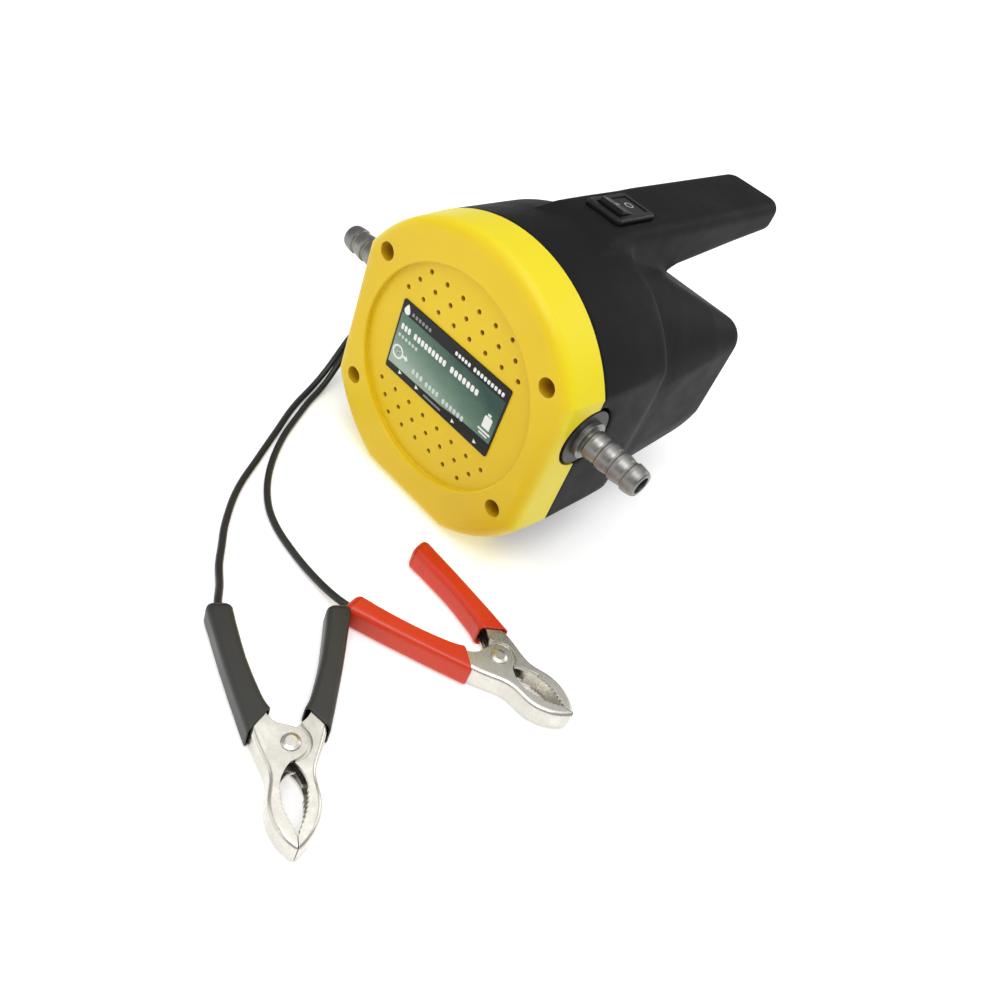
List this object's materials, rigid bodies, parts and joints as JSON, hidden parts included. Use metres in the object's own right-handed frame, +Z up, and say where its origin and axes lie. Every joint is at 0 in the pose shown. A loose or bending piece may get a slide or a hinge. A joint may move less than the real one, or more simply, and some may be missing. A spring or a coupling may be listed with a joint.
{
  "type": "fluid transfer pump",
  "caption": "Hand-carried electric oil transfer pump: round yellow and black casing with a rear handle, side hose tails, rocker switch and battery clamps on a split lead.",
  "frame": {"origin": "on the base plane, under the motor axis, in the joint plane of front cover and housing, which also holds the axis of both ports", "axes": "+Z up, -Y the front face with the label, +X towards the outlet port; the motor axis runs along Y"},
  "size_m": [0.1707, 0.2683, 0.1096],
  "materials": {
    "yellow_shell": "moulded ABS, fine satin texture with a soft gloss",
    "label": "printed polyester label, satin laminate",
    "black_shell": "moulded ABS, fine matt texture",
    "pump_plastic": "glass-filled nylon, matt",
    "gasket": "nitrile sheet",
    "seal_rubber": "nitrile rubber, soft sheen",
    "screw_steel": "zinc-plated steel",
    "barb_metal": "turned light alloy, dull grey",
    "bronze": "sintered bronze",
    "gear_steel": "ground steel",
    "motor_steel": "zinc-plated drawn steel",
    "ferrite": "ferrite, dark grey",
    "core_steel": "laminated steel",
    "copper": "enamelled copper",
    "carbon": "carbon",
    "contact_brass": "tinned brass",
    "switch_black": "moulded nylon, satin",
    "lead_black": "PVC insulated wire",
    "clamp_steel": "bright nickel-plated steel sheet",
    "spring_steel": "spring wire",
    "black_sleeve": "soft PVC, dull sheen",
    "red_sleeve": "soft PVC, sheen"
  },
  "bodies": {
    "root": {"front_cover": "yellow_shell", "front_label": "label", "cover_screws": "screw_steel", "housing": "black_shell", "pump_body": "pump_plastic", "pump_gasket": "gasket", "pump_front_plate": "pump_plastic", "pump_plate_screws": "screw_steel", "motor_screws": "screw_steel", "pump_mount_screws": "screw_steel", "front_bush": "bronze", "shaft_seal": "seal_rubber", "inlet_barb": "barb_metal", "outlet_barb": "barb_metal", "barb_orings": "seal_rubber", "driven_gear_pin": "gear_steel", "motor_can": "motor_steel", "motor_bearings": "bronze", "motor_magnets": "ferrite", "motor_end_cap": "pump_plastic", "carbon_brushes": "carbon", "motor_terminals": "contact_brass", "switch_housing": "switch_black", "switch_terminals": "contact_brass", "cable_gland": "seal_rubber", "negative_lead": "lead_black", "positive_lead": "lead_black", "internal_wires": "lead_black", "neg_fixed_jaw": "clamp_steel", "neg_fixed_grip": "black_sleeve", "neg_rivet": "clamp_steel", "neg_spring": "spring_steel", "pos_fixed_jaw": "clamp_steel", "pos_fixed_grip": "red_sleeve", "pos_rivet": "clamp_steel", "pos_spring": "spring_steel"},
    "rotor": {"motor_shaft": "gear_steel", "armature_core": "core_steel", "armature_windings": "copper", "commutator": "copper", "drive_gear": "gear_steel"},
    "driven_gear": {"driven_gear": "gear_steel"},
    "rocker": {"switch_rocker": "switch_black"},
    "neg_lever": {"neg_moving_jaw": "clamp_steel", "neg_moving_grip": "black_sleeve"},
    "pos_lever": {"pos_moving_jaw": "clamp_steel", "pos_moving_grip": "red_sleeve"}
  },
  "joints": [
    {"name": "rotor_spin", "type": "hinge", "parent": "root", "child": "rotor", "pos_m": [0, 0.03, 0.0525], "axis": [0, 1, 0], "continuous": true},
    {"name": "driven_gear_spin", "type": "hinge", "parent": "root", "child": "driven_gear", "pos_m": [0, 0, 0.0693], "axis": [0, 1, 0], "continuous": true},
    {"name": "rocker_tilt", "type": "hinge", "parent": "root", "child": "rocker", "pos_m": [0, 0.046, 0.1052], "axis": [1, 0, 0], "range_deg": [0, 16]},
    {"name": "neg_clamp_open", "type": "hinge", "parent": "root", "child": "neg_lever", "pos_m": [0.0618, -0.1092, 0.0045], "axis": [0, 0, 1], "range_deg": [0, 30], "deforming": ["neg_spring"]},
    {"name": "pos_clamp_open", "type": "hinge", "parent": "root", "child": "pos_lever", "pos_m": [0.0732, -0.0411, 0.0045], "axis": [0, 0, 1], "range_deg": [0, 30], "deforming": ["pos_spring"]}
  ],
  "couplings": [
    {"joint": "driven_gear_spin", "follows": "rotor_spin", "ratio": -1}
  ]
}
